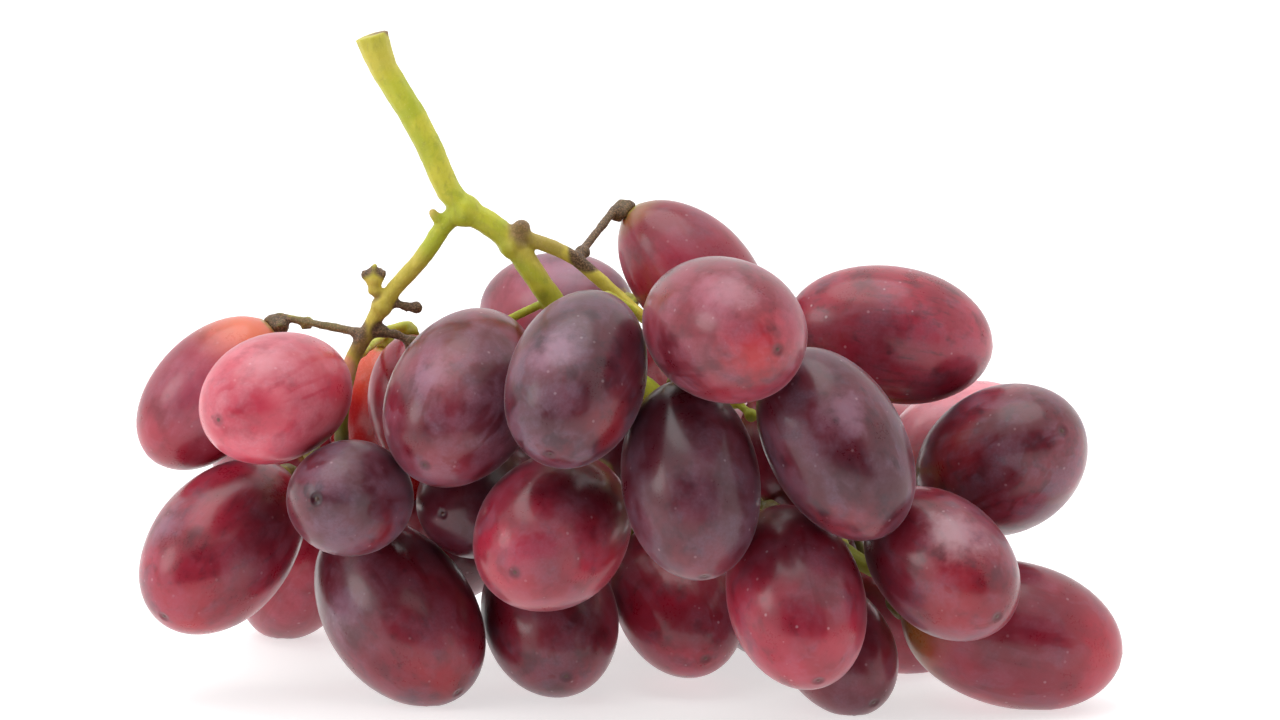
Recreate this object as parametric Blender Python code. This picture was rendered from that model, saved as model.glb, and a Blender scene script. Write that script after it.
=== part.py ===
"""A bunch of red table grapes, lying on a table as picked: one branching stem and its berries.

Metres, +Z up. The table is z = 0 and the origin is on it, below the middle of the bunch.
+X runs from the wing of the bunch to its tip, and -Y is the side that faces a person.
Run it in Blender 4.5: blender --background --python part.py
"""

import math

import bmesh
import bpy
import numpy as np
from mathutils import Matrix, Vector

# Overall sizes of the bunch. The layout below is stretched to them.
BUNCH_LENGTH = 0.105  # X, between the centres of the berries at its two ends
BUNCH_DEPTH = 0.056  # Y, between the centres of its front and back berries
BUNCH_HEIGHT = 0.0875  # Z, from the table to the cut end of the peduncle

# A berry of size 1. Its widest place lies a little nearer to the tip than to the stem end.
BERRY_LENGTH = 0.0272
BERRY_WIDTH = 0.0178
BERRY_FULL_TIP = 0.03
BERRY_SIDES = 14
BERRY_RINGS = 8

# Diameters of the stem, at the start and the end of each kind of branch.
RACHIS_DIAMETERS = (0.0038, 0.0024)
WING_DIAMETERS = (0.0026, 0.0017)
LATERAL_DIAMETERS = (0.0022, 0.0015)
STUB_DIAMETERS = (0.0013, 0.0012)
CUT_END_DIAMETER = 0.0046
CUT_END_FLARE = 0.0022
PEDICEL_DIAMETER = 0.0013
PEDICEL_FOOT_DIAMETER = 0.0017
RECEPTACLE_DIAMETER = 0.0029
RECEPTACLE_LENGTH = 0.0015
RECEPTACLE_SHOULDER = 0.7  # the share of its length in which it flares

CLEARANCE = 0.00036  # between two berries, and between a berry and the stem
CONTACT_DEPTH = 0.00045  # how much of a berry's underside is pressed flat on the table

# The layout is in millimetres, for a bunch of this length, depth and height.
LAYOUT_SIZE = (105.0, 56.0, 87.5)
ON_TABLE = 0
RED = "red"
PURPLE = "purple"

# Each branch of the stem, as the points that its axis passes through. The first point of a
# lateral is moved onto the axis of the rachis.
RACHIS = [(-35, 0, 87.5), (-33.4, 0, 83), (-30.2, 0, 77.8), (-27.4, 0, 72.4), (-25.2, 0, 67.2),
          (-23, 0, 64.4), (-20, 0, 62.8), (-16.7, 0, 60), (-13, 0, 54.5), (-9, 3, 48.5),
          (-5, 5, 44.5), (2, 6, 38.7), (10.5, 6, 32.5), (18, 6, 24.5), (27, 4, 18), (33, 1, 15)]
WING = [(-23.5, 0, 65), (-26, 0, 62), (-29, 0, 57.6), (-32, 0, 54.4), (-34, 0, 51.6),
        (-36, 0, 48), (-38, 0, 44.4), (-39, -1, 40), (-39.4, -1, 36), (-39.5, 1, 31), (-41, 5, 27),
        (-43, 10, 24)]
LATERALS = {
    "shoulder": [(-17, 0, 60), (-15, 0, 60.8), (-11.6, 0, 59.6), (-8.4, 0, 58), (-5.9, 0, 55.7),
                 (-2.8, 0, 53), (0, 0, 50.5), (4, 0, 47.8), (9, 1, 45.5)],
    "front": [(3, 6, 38), (8, 1, 38.5), (12.5, -7, 40)],
    "inner": [(-7, 4, 46.5), (-13, 8, 41), (-18, 10, 34), (-21, 12, 29)],
    "back": [(-5, 5, 44.5), (-7.5, 12, 39), (-8, 20, 35)],
    "low": [(9, 6, 33.5), (3, 6, 28.5), (-3, 6.5, 23.5), (-8, 8.5, 18.5)],
    "far": [(10.5, 6, 32.5), (16, 13, 32), (22, 18, 31)],
    "end": [(18, 6, 24.5), (25, 9, 27), (33, 12, 27.5)],
    "under": [(26, 5, 18), (27, 13, 18), (29, 20, 17.5)],
}

# Dried stubs whose berries have dropped, each from its foot on the branch that bears it to its
# tip, with the diameter of its crown.
STUBS = [
    ("wing", [(-34.2, 0, 51.6), (-34.6, 0, 53.6), (-34.9, 0, 55.4)], 2.6),
    ("wing", [(-34, 0, 51.6), (-32.4, 0, 52), (-29.4, 0, 51.5)], 1.7),
    ("wing", [(-35.6, 0, 48.6), (-32, 0, 48), (-30, 0, 46.8)], 2.2),
    ("wing", [(-26, 0, 62.4), (-26.2, -0.3, 62.9), (-26.5, -0.4, 63.4)], 1.7),
    ("rachis", [(-16.7, 0, 60), (-16, 0, 61), (-15.6, -0.3, 62)], 2.7),
    ("front", [(12.5, -7, 40), (13.4, -9, 39.8), (14.4, -10, 39)], 2.0),
]
# Swellings of the stem where it forks: branch, place and diameter.
SWELLINGS = [("rachis", (-24, 0, 64.9), 4.6), ("wing", (-34.4, 0, 51.4), 3.0),
             ("rachis", (-16.7, 0, 60), 4.3)]

# The berries of each branch: centre, heading from stem end to tip as azimuth and rise in
# degrees, size and tone. A centre with z ON_TABLE belongs to a berry that lies on the table.
BERRIES = {
    "wing": [
        ((-57, 6, 39), (-170, -47), 0.87, RED),
        ((-47, -12, 41.5), (-122, -4), 0.92, RED),
        ((-55, -2, 20), (-127, -32), 1.03, RED),
        ((-47.5, 30, ON_TABLE), (121, -45), 0.80, RED),
        ((-37.5, -14, 29), (-110, 10), 0.84, PURPLE),
        ((-35.2, 15, 30), (90, -80), 0.86, RED),
        ((-29.2, 7.5, 36), (-80, -66), 0.66, RED),
        ((-31.5, -3, ON_TABLE), (-46, -38), 1.08, RED),
        ((-49, 26, 27.5), (120, -10), 0.84, RED),
        ((-35, 36, 20), (85, -10), 0.90, PURPLE),
    ],
    "rachis": [
        ((-23, -10, 41.5), (-111, -28), 1.06, PURPLE),
        ((-11.5, 24, 47), (144, -10), 0.86, RED),
        ((19.5, -22, 18), (-74, -42), 0.97, RED),
        ((25.5, -8.5, ON_TABLE), (-58, -32), 0.82, PURPLE),
        ((38, -18.5, 21.3), (-57, -22), 0.95, RED),
        ((47.5, -10.5, ON_TABLE), (-8, -12), 1.07, RED),
        ((19, 21, ON_TABLE), (90, -20), 0.95, PURPLE),
    ],
    "shoulder": [
        ((-8, -22, 46), (-108, -36), 0.98, PURPLE),
        ((7, 11, 54), (-13, -44), 0.87, RED),
        ((12, -24.5, 51.8), (-62, -2), 1.02, RED),
        ((33, 6, 47), (-2, -10), 1.00, RED),
    ],
    "front": [
        ((7, -22, 32.5), (-78, -54), 0.99, PURPLE),
        ((25, -22, 37), (-34, -54), 0.98, PURPLE),
        ((17.5, -4, 31.5), (-70, -50), 0.68, PURPLE),
    ],
    "inner": [
        ((-22.5, 4, 24), (-115, 0), 0.86, PURPLE),
        ((-23, 30, 33), (115, -5), 0.92, RED),
        ((-25, 22, 15), (100, -15), 0.86, PURPLE),
    ],
    "back": [
        ((-6, 40, 34.5), (80, 0), 0.98, PURPLE),
        ((3, 19, 35.5), (100, 0), 0.90, RED),
    ],
    "low": [
        ((-11.5, -16, 25), (-109, -10), 1.07, RED),
        ((-7, 21, 24), (100, -10), 0.88, PURPLE),
        ((-10.5, 2.5, 11), (-79, -24), 1.00, PURPLE),
        ((5.5, 6, 11), (-71, -26), 0.94, PURPLE),
        ((-11, 28, ON_TABLE), (100, -20), 0.94, RED),
        ((4, 35, ON_TABLE), (75, -20), 0.98, RED),
    ],
    "far": [
        ((24, 24, 39), (80, 5), 0.94, PURPLE),
        ((13, 30, 24), (95, -15), 0.94, RED),
        ((35, 36, 24), (70, 0), 0.94, RED),
    ],
    "end": [
        ((47.5, 0, 31), (-57, 25), 1.07, PURPLE),
        ((43, 22, 28.8), (30, 14), 0.87, RED),
    ],
    "under": [
        ((34, 12.5, ON_TABLE), (30, -20), 0.84, RED),
        ((38, 29, ON_TABLE), (60, -15), 0.90, PURPLE),
        ((22, 38, ON_TABLE), (95, -10), 0.92, RED),
    ],
}

# A pedicel leaves its branch at the nearest place, or for these berries near this one.
FEET = {
    "grape_wing_1": (-35.9, 0, 48.3),
    "grape_rachis_2": (-8, 3.5, 47.5),
    "grape_shoulder_1": (-1, 0, 51.3),
    "grape_shoulder_2": (-7.8, 0, 57.6),
}
PEDICEL_BEND = 0.18  # how far a pedicel runs straight on from its berry, as a share of its span

# How the berries settle against each other, the stem and the table.
SETTLE_STEPS = 420
FREE_STEPS = 120  # the last steps, in which nothing pulls a berry back to its place
PULL_BACK = 0.03
PUSH = 0.45
FRONT = 12  # a berry whose centre is nearer than this, in the layout, keeps its place best
FRONT_GIVES = 0.25  # how readily it moves, beside a berry behind it
SMOOTHING = 0.5
DIRECTION_COUNT = 640
NEAR = 0.004
PEDICEL_POINTS = 9
STEM_STEP = 0.0026

# Colours are linear, then roughness.
SKIN_COLOURS = {RED: (0.25, 0.02, 0.035, 1.0), PURPLE: (0.09, 0.018, 0.035, 1.0)}
SKIN_ROUGHNESS = 0.35
STEM_COLOUR = (0.36, 0.38, 0.05, 1.0)
STEM_ROUGHNESS = 0.6


def clear_scene():
    for thing in list(bpy.data.objects):
        bpy.data.objects.remove(thing)


def new_collection(name):
    collection = bpy.data.collections.new(name)
    bpy.context.scene.collection.children.link(collection)
    return collection


def new_material(name, colour, roughness):
    material = bpy.data.materials.new(name)
    material.use_nodes = True
    shader = material.node_tree.nodes["Principled BSDF"]
    shader.inputs["Base Color"].default_value = colour
    shader.inputs["Roughness"].default_value = roughness
    shader.inputs["Metallic"].default_value = 0.0
    material.diffuse_color = colour
    return material


def stretched(point):
    """A point of the layout, in metres, on a bunch of the chosen size."""
    sizes = (BUNCH_LENGTH, BUNCH_DEPTH, BUNCH_HEIGHT)
    return np.array([p * size / layout for p, size, layout in zip(point, sizes, LAYOUT_SIZE)])


def smooth_path(points, spacing):
    """Points about one spacing apart, on the Catmull-Rom curve through these."""
    ends = [2 * points[0] - points[1]] + list(points) + [2 * points[-1] - points[-2]]
    path = [points[0]]
    for before, start, end, after in zip(ends, ends[1:], ends[2:], ends[3:]):
        pieces = max(1, round(float(np.linalg.norm(end - start)) / spacing))
        for piece in range(1, pieces + 1):
            t = piece / pieces
            path.append(0.5 * (2 * start + (end - before) * t
                               + (2 * before - 5 * start + 4 * end - after) * t ** 2
                               + (3 * start - before - 3 * end + after) * t ** 3))
    return np.array(path)


def share_of_length(path):
    """How far along the path each of its points is, from 0 to 1."""
    steps = np.sqrt(((path[1:] - path[:-1]) ** 2).sum(1))
    along = np.concatenate([[0.0], np.cumsum(steps)])
    return along / along[-1]


class Branch:
    """A branch of the stem: the points of its axis and the radius at each."""

    def __init__(self, points, diameters, bearer=None):
        points = [stretched(point) for point in points]
        if bearer:
            points[0] = bearer.nearest(points[0])
        self.path = smooth_path(points, STEM_STEP)
        share = share_of_length(self.path)
        start, end = diameters
        self.radii = (start + (end - start) * share) / 2

    def nearest(self, place):
        """The point of the axis that is nearest to a place, away from the branch's own foot."""
        reach = self.path[len(self.path) // 6:]
        return reach[int(((reach - place) ** 2).sum(1).argmin())]


def grow_branches():
    branches = {"rachis": Branch(RACHIS, RACHIS_DIAMETERS), "wing": Branch(WING, WING_DIAMETERS)}
    for name, points in LATERALS.items():
        branches[name] = Branch(points, LATERAL_DIAMETERS, branches["rachis"])
    flare = int(round(CUT_END_FLARE / STEM_STEP)) + 1
    widths = [CUT_END_DIAMETER + (RACHIS_DIAMETERS[0] - CUT_END_DIAMETER) * i / flare
              for i in range(flare)]
    branches["rachis"].radii[:flare] = np.array(widths) / 2
    return branches


def grow_stubs(branches):
    """Each dried stub as its path and radii, with the place and radius of its crown."""
    thick, thin = (diameter / 2 for diameter in STUB_DIAMETERS)
    stubs = []
    for bearer, points, crown in STUBS:
        path = [stretched(point) for point in points]
        path[0] = branches[bearer].nearest(path[0])
        stubs.append((path, [thick, thin, thin], crown / 2000))
    return stubs


def grow_swellings(branches):
    """The place and radius of each swelling of the stem."""
    return [(branches[bearer].nearest(stretched(place)), diameter / 2000)
            for bearer, place, diameter in SWELLINGS]


def berry_radius_at(share):
    """A unit berry's radius where its axis has run from -1, the stem end, to share."""
    return math.sqrt(max(0.0, 1 - share ** 2)) * (1 + BERRY_FULL_TIP * share)


def berry_mesh(name, half_length, half_width):
    """A berry at the origin, with its tip towards +Z."""
    shape = bmesh.new()
    bmesh.ops.create_uvsphere(shape, u_segments=BERRY_SIDES, v_segments=BERRY_RINGS, radius=1)
    for vertex in shape.verts:
        full = 1 + BERRY_FULL_TIP * vertex.co.z
        vertex.co.x *= half_width * full
        vertex.co.y *= half_width * full
        vertex.co.z *= half_length
    mesh = bpy.data.meshes.new(name)
    shape.to_mesh(mesh)
    shape.free()
    mesh.shade_smooth()
    return mesh


def outline_points(half_length, half_width):
    """Points all over a berry's true surface, for measuring how far it reaches each way."""
    points = [(0, 0, half_length), (0, 0, -half_length)]
    rings = 16
    sides = 24
    for ring in range(1, rings):
        share = math.cos(math.pi * ring / rings)
        radius = half_width * berry_radius_at(share)
        for side in range(sides):
            turn = math.tau * side / sides
            points.append((radius * math.cos(turn), radius * math.sin(turn), half_length * share))
    return np.array(points)


def even_directions():
    """Unit vectors spread evenly over a sphere. The second half are the first half's opposites."""
    half = DIRECTION_COUNT // 2
    golden_angle = math.pi * (3 - math.sqrt(5))
    upper = []
    for step in range(half):
        rise = (step + 0.5) / half
        flat = math.sqrt(1 - rise ** 2)
        turn = golden_angle * step
        upper.append((flat * math.cos(turn), flat * math.sin(turn), rise))
    upper = np.array(upper)
    return np.concatenate([upper, -upper])


def along(vectors, directions):
    """The length of every vector along every direction, summed in a fixed order."""
    return (vectors[:, 0:1] * directions[None, :, 0] + vectors[:, 1:2] * directions[None, :, 1]
            + vectors[:, 2:3] * directions[None, :, 2])


class Berry:
    """One grape: where it is wanted, which way it points and how far it reaches each way."""

    def __init__(self, name, branch, row, directions):
        centre, (azimuth, rise), size, self.tone = row
        self.name = name
        self.branch = branch
        self.half_length = BERRY_LENGTH / 2 * size
        self.half_width = BERRY_WIDTH / 2 * size
        self.mesh = berry_mesh(name, self.half_length, self.half_width)
        azimuth = math.radians(azimuth)
        rise = math.radians(rise)
        flat = math.cos(rise)
        heading = Vector((flat * math.cos(azimuth), flat * math.sin(azimuth), math.sin(rise)))
        self.heading = np.array(heading)
        self.turn = heading.to_track_quat("Z", "Y").to_matrix()
        points = along(outline_points(self.half_length, self.half_width), np.array(self.turn))
        self.reach = along(points, directions).max(0)
        self.rests = centre[2] == ON_TABLE
        lowest = min((self.turn @ vertex.co).z for vertex in self.mesh.vertices)
        self.floor = -lowest + (-CONTACT_DEPTH if self.rests else CLEARANCE)
        self.place = stretched(centre)
        if self.rests:
            self.place[2] = self.floor

    def foot(self, branch):
        """Where the pedicel leaves its branch."""
        return branch.nearest(stretched(FEET[self.name]) if self.name in FEET else self.pole(0))

    def pole(self, off):
        """The point on the axis that is this far outside the stem end."""
        return self.place - self.heading * (self.half_length + off)

    def first_route(self, foot):
        """A smooth route for the pedicel from its foot on the branch to the berry's stem end."""
        outer = self.pole(CLEARANCE + RECEPTACLE_LENGTH)
        bend = outer - self.heading * float(np.linalg.norm(outer - foot)) * PEDICEL_BEND
        route = []
        for step in range(PEDICEL_POINTS - 1):
            t = step / (PEDICEL_POINTS - 2)
            route.append((1 - t) ** 2 * foot + 2 * t * (1 - t) * bend + t ** 2 * outer)
        route.append(self.pole(CLEARANCE))
        return np.array(route)


def read_berries(directions):
    berries = []
    for branch, rows in BERRIES.items():
        for number, row in enumerate(rows, start=1):
            berries.append(Berry(f"grape_{branch}_{number}", branch, row, directions))
    return berries


def settle(berries, branches, stubs, swellings, directions):
    """Push the berries off each other and off the stem, and bend each pedicel round them.

    Every berry is convex, so its gap to a point, or to another berry, is the largest gap that
    shows along any one direction. Returns each berry's pedicel, as points from foot to pole.
    """
    count = len(berries)
    half = len(directions) // 2
    reach = np.array([berry.reach for berry in berries])
    reach_back = np.concatenate([reach[:, half:], reach[:, :half]], axis=1)
    wanted = np.array([berry.place for berry in berries])
    places = wanted.copy()
    floors = np.array([berry.floor for berry in berries])
    rests = np.array([berry.rests for berry in berries])
    front = stretched((0, FRONT, 0))[1]
    ease = np.where(wanted[:, 1:2] < front, FRONT_GIVES, 1.0)
    farthest = float(max(berry.half_length for berry in berries))
    knobs = [(path[-1], crown) for path, radii, crown in stubs] + swellings
    wood = np.concatenate([branch.path for branch in branches.values()]
                          + [path for path, radii, crown in stubs]
                          + [[place for place, radius in knobs]])
    wood_radii = np.concatenate([branch.radii for branch in branches.values()]
                                + [radii for path, radii, crown in stubs]
                                + [[radius for place, radius in knobs]])
    routes = np.array([berry.first_route(berry.foot(branches[berry.branch]))
                       for berry in berries])
    route_radii = np.full(PEDICEL_POINTS, PEDICEL_DIAMETER / 2)
    route_radii[-2:] = RECEPTACLE_DIAMETER / 2
    first, second = np.triu_indices(count, 1)
    owner = np.repeat(np.arange(count), PEDICEL_POINTS)
    order = np.tile(np.arange(PEDICEL_POINTS), count)
    for step in range(SETTLE_STEPS):
        free = step >= SETTLE_STEPS - FREE_STEPS
        moves = np.zeros_like(places)
        if not free:
            moves += PULL_BACK * (wanted - places)
            middle = (routes[:, :-3] + routes[:, 2:-1]) / 2
            routes[:, 1:-2] += SMOOTHING * (middle - routes[:, 1:-2])
        for i, berry in enumerate(berries):
            berry.place = places[i]
            routes[i, -2] = berry.pole(CLEARANCE + RECEPTACLE_LENGTH)
            routes[i, -1] = berry.pole(CLEARANCE)

        apart = places[second] - places[first]
        near = (apart ** 2).sum(1) < (2 * farthest + NEAR) ** 2
        i, j = first[near], second[near]
        gaps = along(apart[near], directions) - reach[i] - reach_back[j]
        best = gaps.argmax(1)
        short = np.maximum(0, CLEARANCE - gaps[np.arange(len(best)), best])
        push = 2 * PUSH * short[:, None] * directions[best] / (ease[i] + ease[j])
        np.add.at(moves, i, -push * ease[i])
        np.add.at(moves, j, push * ease[j])

        apart = wood[:, None] - places[None]
        point, i = np.nonzero((apart ** 2).sum(2) < (farthest + NEAR) ** 2)
        gaps = along(apart[point, i], directions) - reach[i]
        best = gaps.argmax(1)
        wanted_gap = wood_radii[point] + CLEARANCE
        short = np.maximum(0, wanted_gap - gaps[np.arange(len(best)), best])
        np.add.at(moves, i, -PUSH * short[:, None] * directions[best])

        points = routes.reshape(-1, 3)
        apart = points[:, None] - places[None]
        point, i = np.nonzero((apart ** 2).sum(2) < (farthest + NEAR) ** 2)
        own_end = (owner[point] == i) & (order[point] >= PEDICEL_POINTS - 2)
        point, i = point[~own_end], i[~own_end]
        gaps = along(apart[point, i], directions) - reach[i]
        best = gaps.argmax(1)
        wanted_gap = route_radii[order[point]] + CLEARANCE
        short = np.maximum(0, wanted_gap - gaps[np.arange(len(best)), best])
        push = PUSH * short[:, None] * directions[best]
        np.add.at(moves, i, -push * ease[i])
        loose = (order[point] > 0) & (order[point] < PEDICEL_POINTS - 2)
        np.add.at(points, point[loose], push[loose])
        fixed_end = order[point] >= PEDICEL_POINTS - 2
        holder = owner[point[fixed_end]]
        np.add.at(moves, holder, push[fixed_end] * ease[holder])
        routes = points.reshape(routes.shape)

        places = places + moves
        places[:, 2] = np.where(rests, floors, np.maximum(places[:, 2], floors))
    for i, berry in enumerate(berries):
        berry.place = places[i]
        routes[i, -2] = berry.pole(CLEARANCE + RECEPTACLE_LENGTH)
        routes[i, -1] = berry.pole(CLEARANCE)
    return routes


def add_tube(name, collection, path, radii, bevel_resolution):
    """A closed round tube along a path, as a mesh object."""
    curve = bpy.data.curves.new(name, "CURVE")
    curve.dimensions = "3D"
    curve.bevel_depth = 1.0
    curve.bevel_resolution = bevel_resolution
    curve.use_fill_caps = True
    spline = curve.splines.new("POLY")
    spline.points.add(len(path) - 1)
    for point, place, radius in zip(spline.points, path, radii):
        point.co = (*place, 1.0)
        point.radius = radius
    guide = bpy.data.objects.new(name + "_guide", curve)
    collection.objects.link(guide)
    graph = bpy.context.evaluated_depsgraph_get()
    mesh = bpy.data.meshes.new_from_object(guide.evaluated_get(graph))
    shape = bmesh.new()
    shape.from_mesh(mesh)
    bmesh.ops.remove_doubles(shape, verts=shape.verts, dist=0.000001)
    shape.to_mesh(mesh)
    shape.free()
    tube = bpy.data.objects.new(name, mesh)
    tube.matrix_world = guide.matrix_world
    collection.objects.link(tube)
    bpy.data.objects.remove(guide)
    return tube


def add_knob(name, collection, place, radius):
    """A rounded swelling of the stem."""
    mesh = bpy.data.meshes.new(name)
    shape = bmesh.new()
    bmesh.ops.create_uvsphere(shape, u_segments=8, v_segments=6, radius=radius)
    shape.to_mesh(mesh)
    shape.free()
    knob = bpy.data.objects.new(name, mesh)
    knob.location = place
    collection.objects.link(knob)
    return knob


def hide_from_render(collection):
    collection.hide_render = True
    for thing in collection.objects:
        thing.hide_render = True
        thing.display_type = "WIRE"


def add_stem(collection, cutters, material, branches, stubs, swellings, berries, routes):
    """The whole skeleton of the bunch, joined into one solid."""
    rachis = branches["rachis"]
    stem = add_tube("stem", collection, rachis.path, rachis.radii, 2)
    for name, branch in branches.items():
        if name != "rachis":
            add_tube(name, cutters, branch.path, branch.radii, 2)
    foot = PEDICEL_FOOT_DIAMETER / 2
    slim = PEDICEL_DIAMETER / 2
    rim = RECEPTACLE_DIAMETER / 2
    for berry, route in zip(berries, routes):
        shoulder = route[-2] + (route[-1] - route[-2]) * RECEPTACLE_SHOULDER
        path = [*route[:-1], shoulder, route[-1]]
        radii = [foot] + [slim] * (PEDICEL_POINTS - 2) + [rim, rim]
        add_tube("pedicel_" + berry.name, cutters, path, radii, 1)
    for number, (path, radii, crown) in enumerate(stubs, start=1):
        add_tube(f"stub_{number}", cutters, path, radii, 1)
        add_knob(f"stub_crown_{number}", cutters, path[-1], crown)
    for number, (place, radius) in enumerate(swellings, start=1):
        add_knob(f"swelling_{number}", cutters, place, radius)
    union = stem.modifiers.new("grown together", "BOOLEAN")
    union.operation = "UNION"
    union.operand_type = "COLLECTION"
    union.collection = cutters
    union.solver = "EXACT"
    stem.data.materials.append(material)
    return stem


def press_flat(mesh, matrix):
    """Cut the underside of a berry off at the table, where its skin is pressed flat."""
    shape = bmesh.new()
    shape.from_mesh(mesh)
    shape.transform(matrix)
    cut = bmesh.ops.bisect_plane(shape, geom=shape.verts[:] + shape.edges[:] + shape.faces[:],
                                 plane_co=(0, 0, 0), plane_no=(0, 0, 1), clear_inner=True)
    rim = [part for part in cut["geom_cut"] if isinstance(part, bmesh.types.BMEdge)]
    bmesh.ops.contextual_create(shape, geom=rim)
    shape.transform(matrix.inverted())
    shape.to_mesh(mesh)
    shape.free()


def add_berry(collection, material, berry):
    matrix = Matrix.Translation(Vector(berry.place)) @ berry.turn.to_4x4()
    if berry.rests:
        press_flat(berry.mesh, matrix)
    grape = bpy.data.objects.new(berry.name, berry.mesh)
    grape.matrix_world = matrix
    grape.data.materials.append(material)
    collection.objects.link(grape)
    return grape


def centre_on_origin(bunch, grapes):
    """Move the bunch so that the origin is on the table below the middle of its box."""
    corners = np.array([grape.matrix_world @ vertex.co
                        for grape in grapes for vertex in grape.data.vertices])
    middle = (corners.min(0) + corners.max(0)) / 2
    bunch.location = (-middle[0], -middle[1], 0)


def main():
    clear_scene()
    collection = new_collection("bunch_of_grapes")
    cutters = new_collection("cutters")
    skins = {tone: new_material("skin_" + tone, colour, SKIN_ROUGHNESS)
             for tone, colour in SKIN_COLOURS.items()}
    bark = new_material("stem", STEM_COLOUR, STEM_ROUGHNESS)
    directions = even_directions()
    branches = grow_branches()
    stubs = grow_stubs(branches)
    swellings = grow_swellings(branches)
    berries = read_berries(directions)
    routes = settle(berries, branches, stubs, swellings, directions)
    bunch = bpy.data.objects.new("bunch", None)
    collection.objects.link(bunch)
    stem = add_stem(collection, cutters, bark, branches, stubs, swellings, berries, routes)
    grapes = [add_berry(collection, skins[berry.tone], berry) for berry in berries]
    centre_on_origin(bunch, grapes)
    for piece in [stem, *grapes, *cutters.objects]:
        piece.parent = bunch
    hide_from_render(cutters)


main()
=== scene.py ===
import math

import bmesh
import bpy
import numpy as np
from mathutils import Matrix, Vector, noise


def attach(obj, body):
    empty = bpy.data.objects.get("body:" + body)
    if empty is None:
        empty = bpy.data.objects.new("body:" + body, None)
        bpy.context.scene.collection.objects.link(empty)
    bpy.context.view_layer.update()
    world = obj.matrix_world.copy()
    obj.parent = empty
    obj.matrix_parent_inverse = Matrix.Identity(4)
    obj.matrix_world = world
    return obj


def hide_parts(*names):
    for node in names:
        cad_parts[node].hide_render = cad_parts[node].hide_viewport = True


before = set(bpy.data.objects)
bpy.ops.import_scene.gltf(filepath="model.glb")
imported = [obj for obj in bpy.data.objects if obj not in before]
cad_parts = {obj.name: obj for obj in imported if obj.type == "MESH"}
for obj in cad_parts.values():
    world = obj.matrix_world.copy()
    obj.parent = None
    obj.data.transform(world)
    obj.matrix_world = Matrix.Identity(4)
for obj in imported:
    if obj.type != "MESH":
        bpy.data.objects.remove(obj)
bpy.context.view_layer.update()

MM = 0.001

# How the berries are built.
RING_TURNS = [0.010, 0.022, 0.036, 0.052, 0.070, 0.092, 0.118, 0.150, 0.19, 0.24, 0.30]
WIDE_RINGS = 27
SEGMENTS = 60
PLUMP = 0.12 * MM  # a berry's skin stands this far proud of its solid
SCAR_RADIUS = 0.85 * MM
STEM_DIP_RADIUS = 1.7 * MM
TOUCHES_FLOOR = 0.01 * MM  # the lowest that any point of a berry may lie
SKIN_SWELL = 0.20 * MM
FACING_DEPTH = 0.05  # the least depth of a mark's place towards -Y, squared

# The stem's wood.
STEM_VOXEL = 0.30 * MM
STEM_LOWEST = 0.02 * MM
COLLAR_LUMPS = 9
CROWD_RADIUS = 18 * MM
DEEP_BELOW = 40 * MM
KNOBS = ((0.12, 1.25), (0.34, 0.85), (0.55, 1.05), (0.78, 0.85))  # share of the way, half-size

# The camera.
CAMERA_TARGET = (0.0019, -0.0079, 0.0445)
CAMERA_DISTANCE = 0.7
CAMERA_ELEVATION = 10
CAMERA_LENS = 149.6
FLOOR_HALF = 12.0

# Linear colours of the skins: pale, middle and deep, and the colour of the bloom on them.
PALETTE = {
    "pink": ((0.66, 0.070, 0.115), (0.52, 0.034, 0.072), (0.25, 0.010, 0.028)),
    # Painted light: the pale coral skin is end_2's, lightened against the shade it lies in.
    "coral": ((0.95, 0.42, 0.46), (0.85, 0.28, 0.34), (0.50, 0.10, 0.14)),
    "red": ((0.38, 0.014, 0.040), (0.235, 0.006, 0.022), (0.090, 0.002, 0.010)),
    # Painted light: the bright ember skin stands for light glowing through wing_6.
    "ember": ((0.60, 0.022, 0.018), (0.38, 0.008, 0.014), (0.16, 0.003, 0.008)),
    "wine": ((0.22, 0.010, 0.026), (0.120, 0.004, 0.013), (0.048, 0.002, 0.006)),
    "dusk": ((0.135, 0.013, 0.026), (0.075, 0.005, 0.013), (0.030, 0.002, 0.007)),
}
# Lilac bloom; in the marks, painted highlights on the berries' tops.
LILAC = (0.46, 0.26, 0.37)
# Rose bloom; in shoulder_3's marks, a painted highlight on its top.
ROSE_BLOOM_AND_TOP_LIGHT = (0.62, 0.24, 0.33)
# Grey bloom; in the marks, a painted sheen on the berries' left edges.
GREY_BLOOM_AND_SHEEN = (0.34, 0.22, 0.31)
# Painted light: a pale rose veil, as highlights on wing_2 and to lighten end_2 against the shade it lies
# in.
PAINTED_PALE_ROSE = (0.85, 0.48, 0.56)
GREEN_GOLD = (0.40, 0.31, 0.06)
ORANGE = (0.80, 0.20, 0.09)
# Painted light: a deep red glow, for light shining through the skin.
PAINTED_GLOW = (0.50, 0.018, 0.026)
# Painted light: a warm pink glow low on the berries, for light bounced up from the floor.
PAINTED_BOUNCE_GLOW = (0.56, 0.075, 0.10)
# Dark spots and scars of the skin, and, in the marks, painted shade.
DARK_SPOT_AND_SHADE = (0.034, 0.002, 0.008)
VIOLET = (0.085, 0.016, 0.040)
PINK = (0.62, 0.11, 0.17)
BROWN = (0.08, 0.035, 0.02)
# Pale lenticel dots that also stand as painted glints, and, in the marks, painted highlights.
PALE_DOT_AND_HIGHLIGHT = (0.88, 0.66, 0.72)
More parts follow.
